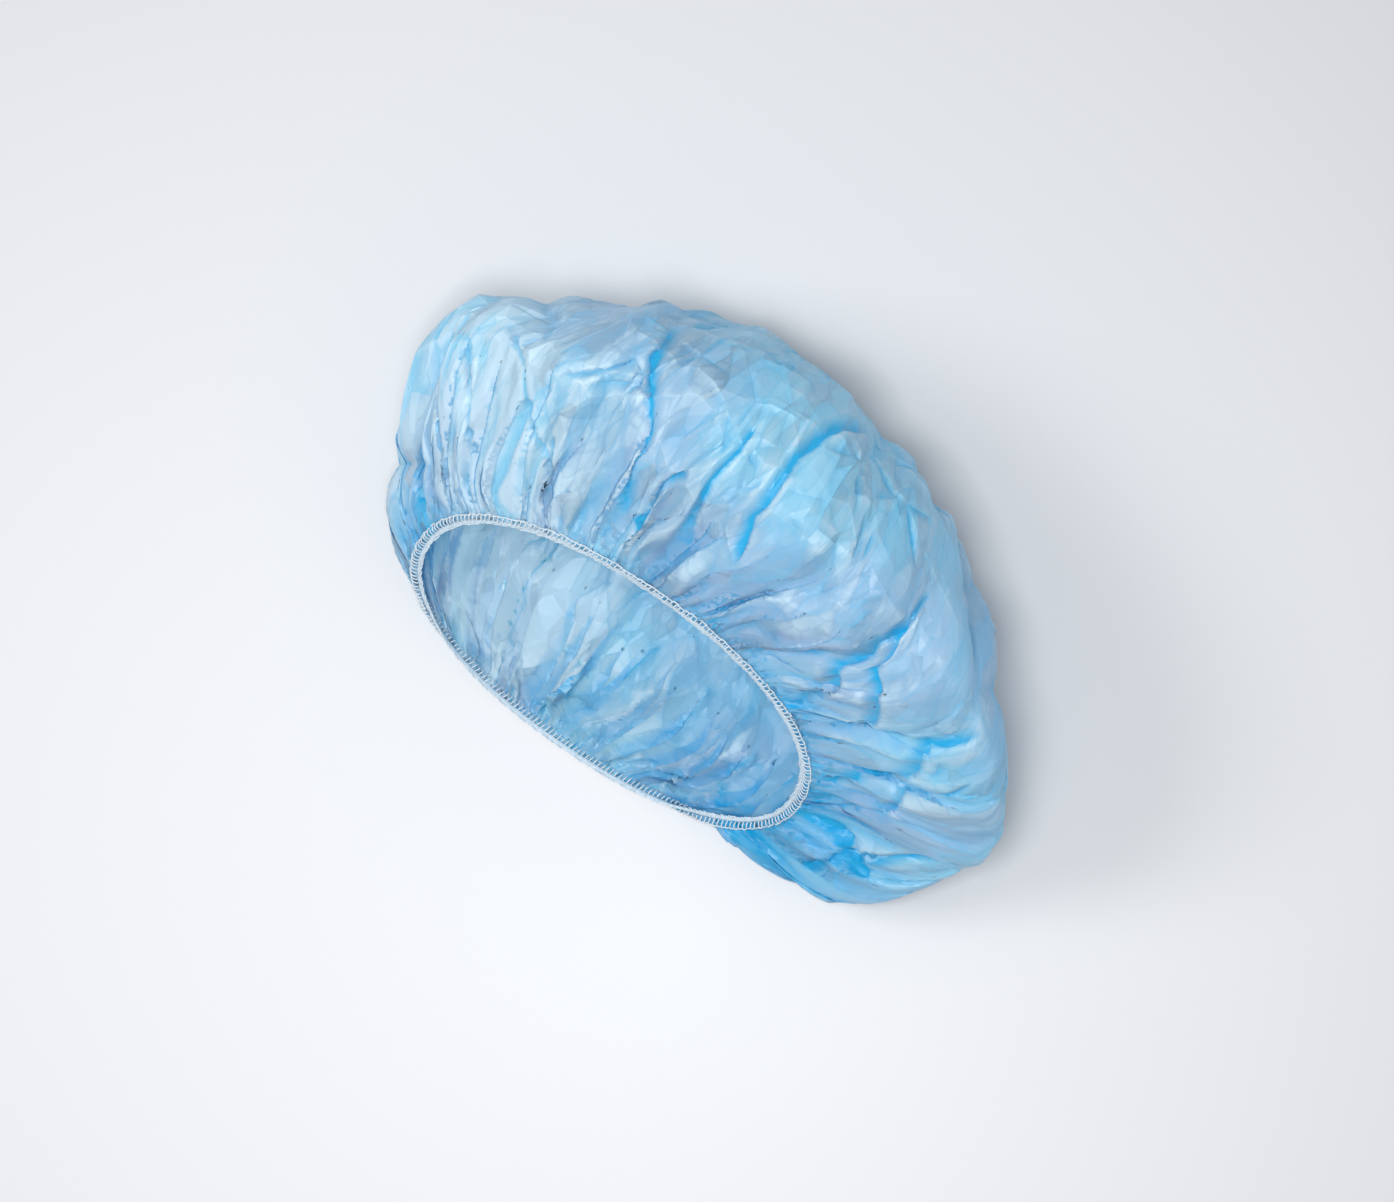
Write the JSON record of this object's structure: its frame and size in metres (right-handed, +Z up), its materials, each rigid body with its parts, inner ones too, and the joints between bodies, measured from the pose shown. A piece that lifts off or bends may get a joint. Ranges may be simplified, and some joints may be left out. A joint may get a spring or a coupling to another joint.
{
  "type": "disposable bouffant hairnet",
  "caption": "Thin pale blue nonwoven bouffant cap gathered into a white elastic hem, lying on its side with its mouth open.",
  "frame": {"origin": "centre of the lying cap's box, on the surface that it rests on", "axes": "+X along the cap's longest extent, which is the long way of the mouth's oval; +Y from the mouth towards the crown; +Z up from the surface; the mouth opens towards -Y and up"},
  "size_m": [0.2552, 0.1596, 0.1323],
  "materials": {
    "nonwoven_fabric": "thin spunbond nonwoven, crinkled, slightly see-through",
    "hem_thread": "white overlock stitching over elastic"
  },
  "bodies": {
    "root": {"cap_shell": "nonwoven_fabric", "elastic_hem": "hem_thread"}
  },
  "joints": []
}
